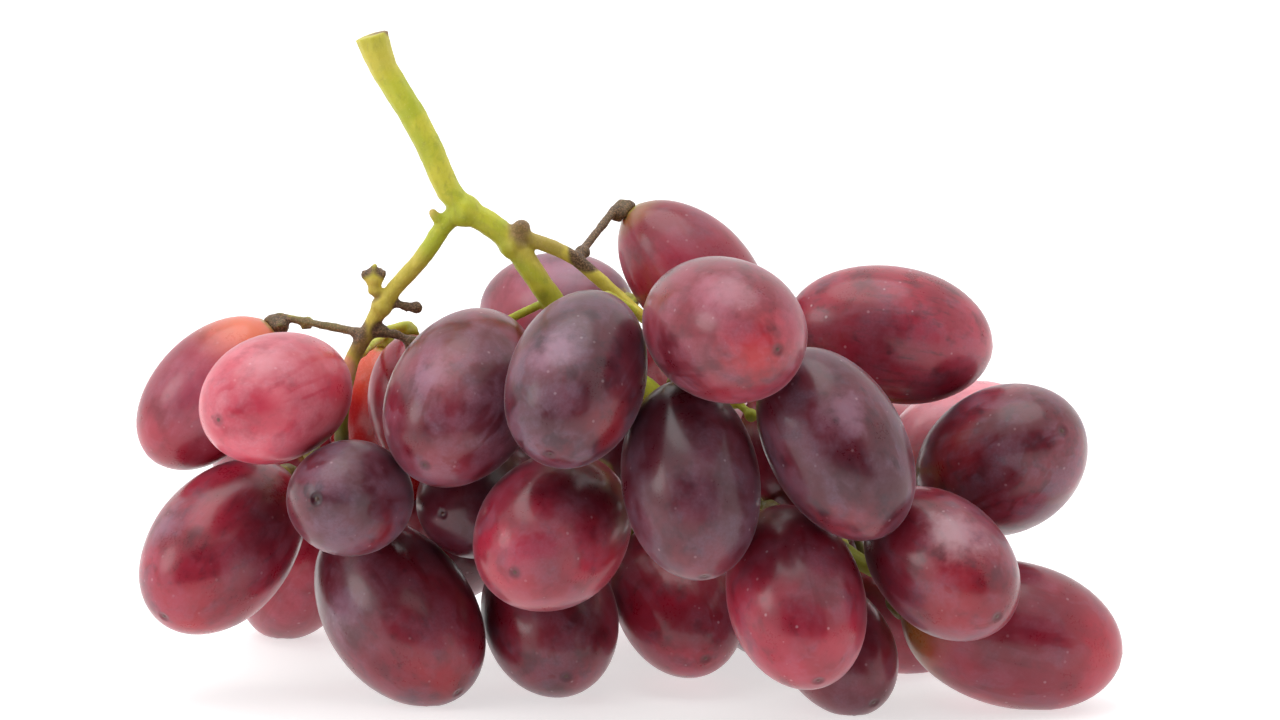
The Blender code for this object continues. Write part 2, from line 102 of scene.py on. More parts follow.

# Each berry's skin. "marks" are patches of another colour, each at a place on the side that
# faces -Y, given as shares of the berry's half-width to the right and up, with a radius in
# millimetres, a colour and a strength. Most marks are painted light and shade: dark patches are
# painted shade, red glows are painted light through the skin, warm pink patches low down are
# painted light bounced from the floor, and pale, lilac, pink and bloom-coloured patches on the
# tops and edges are painted highlights and sheen.
SKINS = {
    "wing_1": dict(tone="red", bloom=0.55, veil=ROSE_BLOOM_AND_TOP_LIGHT, top=(ORANGE, 0.40, 0.9),
                   marks=[(0.5, 0.8, 6.0, PINK, 0.6), (-0.3, 0.2, 7.0, GREY_BLOOM_AND_SHEEN, 0.25)]),
    "wing_2": dict(tone="pink", bloom=0.60, veil=PAINTED_PALE_ROSE, scar=0.0,
                   marks=[(-0.1, 0.7, 6.0, PALE_DOT_AND_HIGHLIGHT, 0.20), (0.9, -0.3, 7.0, PAINTED_GLOW, 0.6),
                         (0.6, -0.1, 3.6, DARK_SPOT_AND_SHADE, 0.2)]),
    "wing_3": dict(tone="red", bloom=0.42, streak=0.55, mottle=0.55,
                   marks=[(0.6, 0.6, 8.0, DARK_SPOT_AND_SHADE, 0.5), (-0.2, -0.6, 6.5, PAINTED_GLOW, 0.35),
                          (-0.7, 0.4, 4.0, GREY_BLOOM_AND_SHEEN, 0.45)]),
    "wing_4": dict(tone="red", bloom=0.5, veil=ROSE_BLOOM_AND_TOP_LIGHT),
    "wing_5": dict(tone="dusk", bloom=0.9, scar=1.0, veil=GREY_BLOOM_AND_SHEEN, mottle=0.5,
                   marks=[(-0.42, 0.25, 1.2, DARK_SPOT_AND_SHADE, 0.9), (0.5, -0.5, 4.0, PAINTED_GLOW, 0.25)]),
    # Painted light: the ember skin and orange stem end stand for light glowing through the skin.
    "wing_6": dict(tone="ember", bloom=0.0, top=(ORANGE, 0.30, 0.5), mottle=0.15, streak=0.1),
    "wing_7": dict(tone="red", bloom=0.5),
    "wing_8": dict(tone="wine", bloom=0.45, streak=0.5, mottle=0.4,
                   marks=[(0.45, -0.45, 6.0, PAINTED_GLOW, 0.45), (-0.2, 0.5, 6.0, DARK_SPOT_AND_SHADE, 0.5),
                          (-0.75, 0.1, 4.0, GREY_BLOOM_AND_SHEEN, 0.5)]),
    "wing_9": dict(tone="red", bloom=0.5, veil=ROSE_BLOOM_AND_TOP_LIGHT),
    "wing_10": dict(tone="dusk", bloom=0.45),
    "rachis_1": dict(tone="wine", bloom=0.75, mottle=0.5,
                     marks=[(0.60, -0.1, 9.0, DARK_SPOT_AND_SHADE, 0.8), (-0.2, -0.5, 5.0, PAINTED_BOUNCE_GLOW, 0.2),
                            (-0.4, 0.4, 4.0, LILAC, 0.3)]),
    "rachis_2": dict(tone="wine", bloom=0.7, veil=LILAC,
                     marks=[(0.1, 0.6, 9.0, LILAC, 0.5), (-0.7, 0.1, 9.0, PINK, 0.6)]),
    "rachis_3": dict(tone="red", bloom=0.45, mottle=0.5, speck=0.9,
                     marks=[(0.0, 0.75, 8.0, DARK_SPOT_AND_SHADE, 0.65), (0.2, -0.6, 6.0, PAINTED_BOUNCE_GLOW, 0.35)]),
    "rachis_4": dict(tone="wine", bloom=0.4),
    "rachis_5": dict(tone="wine", bloom=0.5, streak=0.4, mottle=0.5,
                     marks=[(0.1, -0.3, 7.0, PAINTED_GLOW, 0.4), (0.15, 0.55, 4.5, PALE_DOT_AND_HIGHLIGHT, 0.25)]),
    "rachis_6": dict(tone="red", bloom=0.4, top=(GREEN_GOLD, 0.30, 0.5),
                     marks=[(-0.1, 0.5, 9.0, DARK_SPOT_AND_SHADE, 0.45), (0.9, 0.0, 8.0, PAINTED_GLOW, 0.3)]),
    "rachis_7": dict(tone="dusk", bloom=0.5),
    "shoulder_1": dict(tone="dusk", bloom=0.85, veil=GREY_BLOOM_AND_SHEEN, mottle=0.7,
                       marks=[(0.15, 0.05, 4.5, DARK_SPOT_AND_SHADE, 0.55), (0.45, -0.4, 5.0, PAINTED_GLOW, 0.3),
                              (-0.3, 0.6, 4.0, LILAC, 0.45)]),
    "shoulder_2": dict(tone="red", bloom=0.45, top=(GREEN_GOLD, 0.12, 0.4),
                       marks=[(0.4, 0.3, 6.0, VIOLET, 0.4), (-0.4, 0.2, 6.0, PINK, 0.4)]),
    "shoulder_3": dict(tone="wine", bloom=0.65, veil=ROSE_BLOOM_AND_TOP_LIGHT,
                       marks=[(0.32, -0.05, 5.5, PAINTED_GLOW, 0.85), (0.0, -0.62, 6.0, PAINTED_BOUNCE_GLOW, 0.3),
                              (0.0, 0.55, 5.0, ROSE_BLOOM_AND_TOP_LIGHT, 0.35), (0.62, 0.1, 4.0, PINK, 0.3)]),
    "shoulder_4": dict(tone="red", bloom=0.45, streak=0.7, mottle=0.6, speck=0.9,
                       marks=[(-0.1, 0.1, 5.0, DARK_SPOT_AND_SHADE, 0.35), (0.9, -0.1, 6.0, PINK, 0.35)]),
    "front_1": dict(tone="dusk", bloom=0.6, veil=GREY_BLOOM_AND_SHEEN, mottle=0.5,
                    marks=[(0.1, -0.75, 5.0, PAINTED_BOUNCE_GLOW, 0.22), (0.2, 0.2, 5.0, VIOLET, 0.3)]),
    "front_2": dict(tone="dusk", bloom=0.65, veil=GREY_BLOOM_AND_SHEEN, mottle=0.6,
                    marks=[(-0.2, -0.1, 5.0, DARK_SPOT_AND_SHADE, 0.4), (0.1, -0.8, 5.0, PAINTED_BOUNCE_GLOW, 0.3),
                           (0.1, 0.6, 4.0, LILAC, 0.35)]),
    "front_3": dict(tone="wine", bloom=0.3),
    "inner_1": dict(tone="dusk", bloom=0.35, veil=GREY_BLOOM_AND_SHEEN),
    "inner_2": dict(tone="red", bloom=0.5),
    "inner_3": dict(tone="wine", bloom=0.4),
    "back_1": dict(tone="dusk", bloom=0.6),
    "back_2": dict(tone="red", bloom=0.5, veil=ROSE_BLOOM_AND_TOP_LIGHT),
    "low_1": dict(tone="red", bloom=0.5, mottle=0.4,
                  marks=[(0.3, 0.65, 7.0, DARK_SPOT_AND_SHADE, 0.65), (-0.3, -0.5, 6.5, PAINTED_BOUNCE_GLOW, 0.4),
                         (0.6, 0.0, 4.0, PAINTED_GLOW, 0.3)]),
    "low_2": dict(tone="dusk", bloom=0.5),
    "low_3": dict(tone="wine", bloom=0.55, veil=GREY_BLOOM_AND_SHEEN, mottle=0.6),
    "low_4": dict(tone="red", bloom=0.5, mottle=0.6, speck=0.8),
    "low_5": dict(tone="red", bloom=0.45),
    "low_6": dict(tone="red", bloom=0.5),
    "far_1": dict(tone="dusk", bloom=0.6),
    "far_2": dict(tone="red", bloom=0.45),
    "far_3": dict(tone="red", bloom=0.5),
    "end_1": dict(tone="wine", bloom=0.8, veil=GREY_BLOOM_AND_SHEEN, streak=0.6, mottle=0.7,
                  marks=[(-0.6, 0.3, 5.0, PAINTED_GLOW, 0.3)]),
    # Painted light: a paler skin and veil than its own, against the shade end_1 casts on it.
    "end_2": dict(tone="coral", bloom=0.95, veil=PAINTED_PALE_ROSE),
    "under_1": dict(tone="red", bloom=0.4),
    "under_2": dict(tone="dusk", bloom=0.5),
    "under_3": dict(tone="red", bloom=0.5),
}


# ---------------------------------------------------------------- shader nodes
class Shader:
    """A material's node tree, with short calls for the nodes that the skins and stem use."""

    def __init__(self, name):
        self.material = bpy.data.materials.new(name)
        self.material.use_nodes = True
        self.tree = self.material.node_tree
        self.surface = self.tree.nodes["Principled BSDF"]

    def add(self, kind, **settings):
        node = self.tree.nodes.new(kind)
        for name, value in settings.items():
            setattr(node, name, value)
        return node

    def put(self, socket, value):
        if isinstance(value, bpy.types.NodeSocket):
            self.tree.links.new(value, socket)
        else:
            if isinstance(value, (tuple, list)) and len(value) == 3 and socket.type == "RGBA":
                value = (*value, 1.0)
            socket.default_value = value

    def places(self):
        return self.add("ShaderNodeTexCoord").outputs["Object"]

    def mapped(self, vector, scale=(1, 1, 1), turn=(0, 0, 0), shift=(0, 0, 0)):
        node = self.add("ShaderNodeMapping")
        self.put(node.inputs["Vector"], vector)
        node.inputs["Scale"].default_value = scale
        node.inputs["Rotation"].default_value = turn
        node.inputs["Location"].default_value = shift
        return node.outputs["Vector"]

    def noise(self, vector, scale, detail=3.0, rough=0.55, warp=0.0):
        node = self.add("ShaderNodeTexNoise")
        self.put(node.inputs["Vector"], vector)
        node.inputs["Scale"].default_value = scale
        node.inputs["Detail"].default_value = detail
        node.inputs["Roughness"].default_value = rough
        node.inputs["Distortion"].default_value = warp
        return node.outputs["Fac"]

    def cells(self, vector, scale):
        node = self.add("ShaderNodeTexVoronoi")
        self.put(node.inputs["Vector"], vector)
        node.inputs["Scale"].default_value = scale
        return node

    def math(self, operation, a, b=0.0, clamp=False):
        node = self.add("ShaderNodeMath", operation=operation, use_clamp=clamp)
        self.put(node.inputs[0], a)
        self.put(node.inputs[1], b)
        return node.outputs[0]

    def rise(self, value, low, high, start=0.0, end=1.0):
        """A smooth step from start to end as value runs from low to high."""
        node = self.add("ShaderNodeMapRange", interpolation_type="SMOOTHSTEP")
        self.put(node.inputs["Value"], value)
        node.inputs["From Min"].default_value = low
        node.inputs["From Max"].default_value = high
        node.inputs["To Min"].default_value = start
        node.inputs["To Max"].default_value = end
        return node.outputs["Result"]

    def mix(self, share, a, b):
        node = self.add("ShaderNodeMix", data_type="RGBA")
        self.put(node.inputs["Factor"], share)
        self.put(node.inputs[6], a)
        self.put(node.inputs[7], b)
        return node.outputs[2]

    def distance(self, vector, place):
        node = self.add("ShaderNodeVectorMath", operation="DISTANCE")
        self.put(node.inputs[0], vector)
        node.inputs[1].default_value = place
        return node.outputs["Value"]

    def dot(self, vector, direction):
        node = self.add("ShaderNodeVectorMath", operation="DOT_PRODUCT")
        self.put(node.inputs[0], vector)
        node.inputs[1].default_value = direction
        return node.outputs["Value"]

    def bump(self, height, strength, distance):
        node = self.add("ShaderNodeBump")
        self.put(node.inputs["Height"], height)
        node.inputs["Strength"].default_value = strength
        node.inputs["Distance"].default_value = distance
        self.put(self.surface.inputs["Normal"], node.outputs["Normal"])


# ---------------------------------------------------------------- berries
def mesh_points(mesh):
    points = np.empty(len(mesh.vertices) * 3, np.float32)
    mesh.vertices.foreach_get("co", points)
    return points.reshape(-1, 3).astype(float)


class Berry:
    """Where a berry's solid lies: its middle, its axis from stem end to tip, and its size."""

    def __init__(self, node, stem):
        points = mesh_points(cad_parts[node].data)
        apart = ((points[:, None] - points[None]) ** 2).sum(2)
        i, j = np.unravel_index(int(apart.argmax()), apart.shape)
        ends = [points[i], points[j]]
        ends.sort(key=lambda end: float(((stem - end) ** 2).sum(1).min()))
        self.name = node.removeprefix("grape_")
        self.stem_end, self.tip = ends
        self.middle = (ends[0] + ends[1]) / 2
        axis = ends[1] - ends[0]
        self.half_length = float(np.linalg.norm(axis)) / 2
        self.axis = axis / np.linalg.norm(axis)
        off = points - self.middle
        off = off - np.outer(off @ self.axis, self.axis)
        self.half_width = float(np.sqrt((off ** 2).sum(1)).max())


def ring_turns():
    """The angle from the tip of every ring of a berry, close together at both ends."""
    first = RING_TURNS[-1]
    wide = [first + (math.pi - 2 * first) * i / WIDE_RINGS for i in range(1, WIDE_RINGS)]
    return RING_TURNS + wide + [math.pi - turn for turn in reversed(RING_TURNS)]


def skin_point(berry, turn, spin, seed, scar):
    """A point of a berry's skin, from its middle, with the berry's axis along +Z."""
    half_length = berry.half_length + PLUMP
    half_width = berry.half_width + PLUMP
    along = math.cos(turn)
    radius = half_width * math.sin(turn) * (1 + 0.03 * along)
    height = half_length * along
    lobes = 1 + 0.006 * math.cos(3 * spin + seed) * math.sin(turn)
    radius *= lobes
    point = Vector((radius * math.cos(spin), radius * math.sin(spin), height))
    swell = noise.noise(point * 95 + Vector((seed, 0, 0)))
    point += point.normalized() * SKIN_SWELL * swell
    flat = math.hypot(point.x, point.y)
    if along > 0:
        ring = math.exp(-((flat - SCAR_RADIUS) / (0.35 * MM)) ** 2)
        pit = math.exp(-(flat / (0.55 * MM)) ** 2)
        core = math.exp(-(flat / (0.22 * MM)) ** 2)
        point.z += (0.10 * ring - 0.28 * pit + 0.22 * core) * MM * (0.4 + 0.6 * scar)
    else:
        ridge = math.exp(-((flat - STEM_DIP_RADIUS) / (0.5 * MM)) ** 2)
        folds = 1 + 0.5 * math.cos(9 * spin + seed * 3)
        rise = math.exp(-(flat / (1.1 * MM)) ** 2)
        point.z -= (0.07 * ridge * folds + 0.22 * rise) * MM
    return point


def berry_object(berry, number):
    seed = number * 7.31
    scar = SKINS[berry.name].get("scar", 0.3)
    shape = bmesh.new()
    turn_to = Vector(berry.axis).to_track_quat("Z", "Y").to_matrix()
    turns = ring_turns()
    tip = shape.verts.new(turn_to @ skin_point(berry, 0, 0, seed, scar))
    rings = []
    for turn in turns:
        ring = []
        for step in range(SEGMENTS):
            spin = math.tau * step / SEGMENTS
            ring.append(shape.verts.new(turn_to @ skin_point(berry, turn, spin, seed, scar)))
        rings.append(ring)
    stem_end = shape.verts.new(turn_to @ skin_point(berry, math.pi, 0, seed, scar))
    for step in range(SEGMENTS):
        after = (step + 1) % SEGMENTS
        shape.faces.new((tip, rings[0][step], rings[0][after]))
        shape.faces.new((stem_end, rings[-1][after], rings[-1][step]))
        for upper, lower in zip(rings, rings[1:]):
            shape.faces.new((upper[step], lower[step], lower[after], upper[after]))
    floor = -berry.middle[2] + TOUCHES_FLOOR
    for vertex in shape.verts:
        vertex.co.z = max(vertex.co.z, floor)
    bmesh.ops.recalc_face_normals(shape, faces=shape.faces)
    mesh = bpy.data.meshes.new("berry_" + berry.name)
    shape.to_mesh(mesh)
    shape.free()
    mesh.shade_smooth()
    thing = bpy.data.objects.new("berry_" + berry.name, mesh)
    thing.location = berry.middle
    bpy.context.scene.collection.objects.link(thing)
    return thing


def facing_point(berry, right, up):
    """The place on the side of a berry that faces -Y, from its middle."""
    back = -math.sqrt(max(FACING_DEPTH, 1 - right ** 2 - up ** 2))
    direction = np.array([right, back, up])
    direction /= np.linalg.norm(direction)
    along = float(direction @ berry.axis)
    across = math.sqrt(max(0.0, 1 - along ** 2))
    reach = 1 / math.sqrt((along / berry.half_length) ** 2 + (across / berry.half_width) ** 2)
    return direction * reach


def skin_material(berry, number, skin):
    shader = Shader("skin_" + berry.name)
    surface = shader.surface
    pale, middle, deep = PALETTE[skin["tone"]]
    bloom = skin.get("bloom", 0.5)
    veil = skin.get("veil", LILAC)
    places = shader.places()
    shift = (number * 0.317, number * 0.171, number * 0.093)
    moved = shader.mapped(places, shift=shift)
    turn_to = Vector(berry.axis).to_track_quat("Z", "Y").to_euler()
    lengthwise = shader.add("ShaderNodeVectorRotate", rotation_type="EULER_XYZ", invert=True)
    shader.put(lengthwise.inputs["Vector"], places)
    lengthwise.inputs["Rotation"].default_value = turn_to
    grain = shader.mapped(lengthwise.outputs["Vector"], scale=(1, 1, 0.22), shift=shift)

    broad = shader.noise(moved, 110, 2, 0.5, 0.1)
    blotch = shader.noise(moved, 300, 4, 0.6, 0.15)
    streaks = shader.noise(grain, 1000, 4, 0.6, 0.1)
    fine = shader.noise(moved, 2600, 4, 0.65)

    colour = shader.mix(shader.rise(broad, 0.36, 0.64), middle, pale)
    dark_share = shader.math("MULTIPLY", shader.rise(blotch, 0.50, 0.68), skin.get("mottle", 0.35))
    colour = shader.mix(dark_share, colour, deep)
    streak_share = shader.math("MULTIPLY", shader.rise(streaks, 0.50, 0.74), skin.get("streak", 0.25))
    colour = shader.mix(streak_share, colour, deep)

    uneven = shader.math("MULTIPLY", shader.math("SUBTRACT", blotch, 0.5), 0.010)
    # Mostly painted light and shade: patches of colour on the side that faces -Y.
    for right, up, radius, tint, strength in skin.get("marks", []):
        away = shader.distance(places, facing_point(berry, right, up))
        away = shader.math("ADD", away, uneven)
        share = shader.rise(away, 0.0, radius * MM * 1.15, strength, 0.0)
        colour = shader.mix(share, colour, tint)

    along = shader.dot(places, tuple(berry.axis / berry.half_length))
    if "top" in skin:
        tint, reach, strength = skin["top"]
        near = shader.math("ADD", along, shader.math("MULTIPLY", uneven, 12))
        share = shader.rise(near, -1.0 + reach * 0.3, -1.0 + reach * 2, strength, 0.0)
        colour = shader.mix(share, colour, tint)
    collar = shader.rise(along, -0.998, -0.965, 0.75, 0.0)
    colour = shader.mix(collar, colour, GREEN_GOLD)

    # The bloom is a thin pale dust, rubbed off in patches.
    dust = shader.noise(moved, 190, 3, 0.55, 0.15)
    dust = shader.rise(dust, 0.36, 0.64, 0.12, 1.0)
    rubbed = shader.noise(grain, 210, 3, 0.55, 0.5)
    rubbed = shader.rise(rubbed, 0.52, 0.60, 1.0, 0.30)
    grit = shader.rise(fine, 0.32, 0.72, 0.75, 1.15)
    cloud = shader.rise(blotch, 0.36, 0.66, 0.80, 1.10)
    dust = shader.math("MULTIPLY", shader.math("MULTIPLY", dust, rubbed), grit)
    dust = shader.math("MULTIPLY", dust, cloud)
    dust = shader.math("MULTIPLY", dust, bloom, clamp=True)
    colour = shader.mix(shader.math("MULTIPLY", dust, 0.40), colour, veil)

    # Lenticels, which also stand as painted glints: small pale dots, and a few dark ones.
    dots = shader.cells(moved, 620)
    sizes = shader.rise(dots.outputs["Color"], 0.45, 0.95)
    pale_dot = shader.rise(dots.outputs["Distance"], 0.06, 0.17, skin.get("speck", 0.35), 0.0)
    pale_dot = shader.math("MULTIPLY", pale_dot, sizes)
    colour = shader.mix(shader.math("MULTIPLY", pale_dot, 0.55), colour, PALE_DOT_AND_HIGHLIGHT)
    spots = shader.cells(shader.mapped(places, shift=(shift[1], shift[2], shift[0])), 210)
    spot_share = shader.rise(spots.outputs["Distance"], 0.04, 0.10, 0.40, 0.0)
    spot_share = shader.math("MULTIPLY", spot_share, shader.rise(spots.outputs["Color"], 0.55, 0.8))
    colour = shader.mix(spot_share, colour, DARK_SPOT_AND_SHADE)
    scar = skin.get("scar", 0.3)
    from_tip = shader.distance(places, tuple(berry.axis * (berry.half_length + PLUMP)))
    from_tip = shader.math("ADD", from_tip, shader.math("MULTIPLY", uneven, 0.06))
    colour = shader.mix(shader.rise(from_tip, 0.0005, 0.0012, 0.35 + 0.6 * scar, 0.0), colour, DARK_SPOT_AND_SHADE)
    colour = shader.mix(shader.rise(from_tip, 0.00015, 0.0004, 0.8, 0.0), colour, BROWN)

    shader.put(surface.inputs["Base Color"], colour)
    gloss = shader.math("MULTIPLY", dust, 0.40)
    gloss = shader.math("ADD", gloss, 0.22)
    gloss = shader.math("ADD", gloss, shader.math("MULTIPLY", fine, 0.10))
    shader.put(surface.inputs["Roughness"], gloss)
    surface.inputs["Subsurface Weight"].default_value = 0.50
    surface.inputs["Subsurface Radius"].default_value = (1.0, 0.16, 0.14)
    surface.inputs["Subsurface Scale"].default_value = 0.005
    surface.inputs["IOR"].default_value = 1.42
    surface.inputs["Sheen Weight"].default_value = 0.10 + 0.22 * bloom
    surface.inputs["Sheen Roughness"].default_value = 0.20
    surface.inputs["Sheen Tint"].default_value = (0.96, 0.82, 0.90, 1.0)
    surface.inputs["Coat Weight"].default_value = 0.35
    surface.inputs["Coat Roughness"].default_value = 0.17
    height = shader.math("ADD", shader.math("MULTIPLY", dust, 0.5), shader.math("MULTIPLY", fine, 0.35))
    height = shader.math("ADD", height, shader.math("MULTIPLY", pale_dot, 0.9))
    height = shader.math("ADD", height, shader.math("MULTIPLY", streaks, 0.25))
    shader.bump(height, 0.35, 0.00008)
    return shader.material


def build_berries(stem):
    berries = []
    for number, node in enumerate(sorted(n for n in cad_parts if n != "stem"), start=1):
        berry = Berry(node, stem)
        skin = SKINS[berry.name]
        thing = berry_object(berry, number)
        thing.data.materials.append(skin_material(berry, number, skin))
        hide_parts(node)
        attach(thing, "root")
        berries.append(berry)
    return berries


# ---------------------------------------------------------------- stem
class Lumps:
    """Rounded, uneven lumps, gathered as points and faces for one mesh."""

    def __init__(self):
        ball = bmesh.new()
        bmesh.ops.create_icosphere(ball, subdivisions=3, radius=1.0)
        self.directions = [vertex.co.normalized() for vertex in ball.verts]
        self.corners = [[vertex.index for vertex in face.verts] for face in ball.faces]
        ball.free()
        self.points = []
        self.faces = []

    def add(self, place, sizes, heading=(0, 0, 1), seed=0.0, rough=0.25):
        """One lump: three half-sizes, the last one along its heading."""
        turn_to = Vector(heading).to_track_quat("Z", "Y").to_matrix()
        place = Vector(place)
        first = len(self.points)
        for direction in self.directions:
            uneven = 1 + rough * noise.noise(direction * 2.2 + Vector((seed, seed * 2, 0)))
            point = Vector([d * s * uneven for d, s in zip(direction, sizes)])
            self.points.append(turn_to @ point + place)
        self.faces += [[first + corner for corner in corners] for corners in self.corners]


SHIFT = np.array([1.9, -7.9, 0.0])  # from the places that part.py lays the stem out by, mm


def at(x, y, z):
    """A place on the stem as part.py lays it out, in the row frame."""
    return Vector((np.array([x, y, z]) + SHIFT) * MM)


def stem_details(berries):
    """Collars under the berries, the ragged crowns of dried stubs and knots at the forks."""
    lumps = Lumps()
    for number, berry in enumerate(berries):
        outwards = -berry.axis
        place = berry.stem_end + outwards * 0.30 * MM
        for turn in range(COLLAR_LUMPS):
            spin = math.tau * (turn + 0.3 * math.sin(number + turn * 2.1)) / COLLAR_LUMPS
            side = Vector(berry.axis).orthogonal().normalized()
            other = Vector(berry.axis).cross(side)
            rim = (side * math.cos(spin) + other * math.sin(spin)) * 1.12 * MM
            size = (0.42 + 0.1 * math.sin(number * 3 + turn * 5)) * MM
            lumps.add(Vector(place) + rim, (size, size, size * 0.9), outwards, number + turn)
        crown = Vector(place) + Vector(outwards) * 0.6 * MM
        lumps.add(crown, (1.25 * MM, 1.25 * MM, 0.9 * MM), outwards, number * 1.7, 0.2)
    # The ragged crown on the wing's upper stub.
    lumps.add(at(-36.05, -0.2, 55.7), (0.62 * MM, 0.5 * MM, 0.75 * MM), (-0.5, 0, 1), 1.0, 0.6)
    lumps.add(at(-35.6, 0.4, 56.1), (0.45 * MM, 0.5 * MM, 0.6 * MM), (-0.3, 0, 1), 2.0, 0.6)
    lumps.add(at(-34.85, -0.3, 56.5), (0.55 * MM, 0.5 * MM, 0.85 * MM), (0, 0, 1), 3.0, 0.6)
    lumps.add(at(-33.8, -0.1, 55.7), (0.6 * MM, 0.5 * MM, 0.8 * MM), (0.6, 0, 1), 4.0, 0.6)
    lumps.add(at(-34.2, 0.5, 56.2), (0.4 * MM, 0.5 * MM, 0.6 * MM), (0.3, 0, 1), 5.0, 0.6)
    lumps.add(at(-34.85, -0.2, 53.9), (0.95 * MM, 0.9 * MM, 0.9 * MM), (0, 0, 1), 6.0, 0.3)
    # The dried bud on the wing's thin stub.
    lumps.add(at(-30.2, 0, 51.6), (0.62 * MM, 0.62 * MM, 1.45 * MM), (1, 0, -0.05), 7.0, 0.35)
    lumps.add(at(-31.4, 0, 51.8), (0.42 * MM, 0.42 * MM, 0.6 * MM), (1, 0, 0), 8.0, 0.5)
    # The dried pedicel below it.
    lumps.add(at(-34.2, 0, 48.4), (0.95 * MM, 0.9 * MM, 1.1 * MM), (1, 0, -0.3), 9.0, 0.4)
    lumps.add(at(-32.2, 0, 47.9), (0.62 * MM, 0.6 * MM, 1.0 * MM), (1, 0, -0.3), 10.0, 0.5)
    lumps.add(at(-30.3, 0, 47.0), (0.85 * MM, 0.8 * MM, 0.9 * MM), (1, 0, -0.4), 11.0, 0.5)
    lumps.add(at(-30.5, 0, 46.0), (0.35 * MM, 0.35 * MM, 0.8 * MM), (-0.3, 0, -1), 12.0, 0.5)
    # The brown knob at the fork of the shoulder, and the nub above the wing.
    lumps.add(at(-15.7, -0.6, 62.2), (0.8 * MM, 0.75 * MM, 0.95 * MM), (-0.2, 0, 1), 13.0, 0.5)
    lumps.add(at(-14.9, -0.8, 61.3), (0.7 * MM, 0.6 * MM, 0.8 * MM), (0.6, 0, 0.6), 14.0, 0.5)
    lumps.add(at(-16.3, -0.9, 60.9), (0.9 * MM, 0.7 * MM, 0.9 * MM), (0, 0, 1), 15.0, 0.4)
    lumps.add(at(-27.0, -0.6, 64.0), (0.7 * MM, 0.6 * MM, 0.8 * MM), (-0.5, 0, 0.8), 16.0, 0.4)
    # Knobs along the two dried pedicels.
    wood = mesh_points(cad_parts["stem"].data)
    named = {berry.name: berry for berry in berries}
    for name, foot in (("wing_1", at(-36.2, 0, 48.3)), ("shoulder_2", at(-7.8, 0, 57.9))):
        start = named[name].stem_end
        for turn, (share, size) in enumerate(KNOBS):
            aim = start + (np.array(foot) - start) * share
            closest = wood[((wood - aim) ** 2).sum(1).argmin()]
            ring = wood[((wood - closest) ** 2).sum(1) < (1.4 * MM) ** 2]
            sizes = (size * MM, size * 0.85 * MM, size * 0.9 * MM)
            heading = Vector(np.array(foot) - start)
            lumps.add(Vector(ring.mean(0)), sizes, heading, 20.0 + turn, 0.5)
    return lumps


def stem_object(berries):
    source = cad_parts["stem"].data
    lumps = stem_details(berries)
    points = [vertex.co.copy() for vertex in source.vertices]
    faces = [list(face.vertices) for face in source.polygons]
    faces += [[corner + len(points) for corner in corners] for corners in lumps.faces]
    mesh = bpy.data.meshes.new("stem_wood")
    mesh.from_pydata(points + lumps.points, [], faces)
    thing = bpy.data.objects.new("stem_wood", mesh)
    bpy.context.scene.collection.objects.link(thing)
    remesh = thing.modifiers.new("one skin", "REMESH")
    remesh.mode = "VOXEL"
    remesh.voxel_size = STEM_VOXEL
    remesh.adaptivity = 0.0
    smooth = thing.modifiers.new("soft", "SMOOTH")
    smooth.factor = 0.5
    smooth.iterations = 3
    graph = bpy.context.evaluated_depsgraph_get()
    grown = bpy.data.meshes.new_from_object(thing.evaluated_get(graph))
    thing.modifiers.clear()
    thing.data = grown
    grown.name = "stem_wood"
    roughen(grown)
    grown.shade_smooth()
    return thing


def roughen(mesh):
    """Ribs and small lumps on the stem's bark."""
    points = mesh_points(mesh)
    normals = np.empty(len(points) * 3, np.float32)
    mesh.vertices.foreach_get("normal", normals)
    normals = normals.reshape(-1, 3)
    for i, (point, normal) in enumerate(zip(points, normals)):
        place = Vector(point)
        low = noise.noise(place * 420)
        high = noise.noise(place * 1300 + Vector((5, 0, 0)))
        points[i] += normal * MM * (0.10 * low + 0.045 * high)
    points[:, 2] = np.maximum(points[:, 2], STEM_LOWEST)
    mesh.vertices.foreach_set("co", points.astype(np.float32).ravel())
    mesh.update()


def near_line(points, start, end, radius, soft):
    """1 within a radius of a line between two places, and 0 a soft width beyond it."""
    start = np.array(start, float)
    line = np.array(end, float) - start
    share = np.clip(((points - start) @ line) / float(line @ line), 0, 1)
    away = np.sqrt(((points - start - share[:, None] * line) ** 2).sum(1))
    step = np.clip((radius + soft - away) / soft, 0, 1)
    return step * step * (3 - 2 * step)


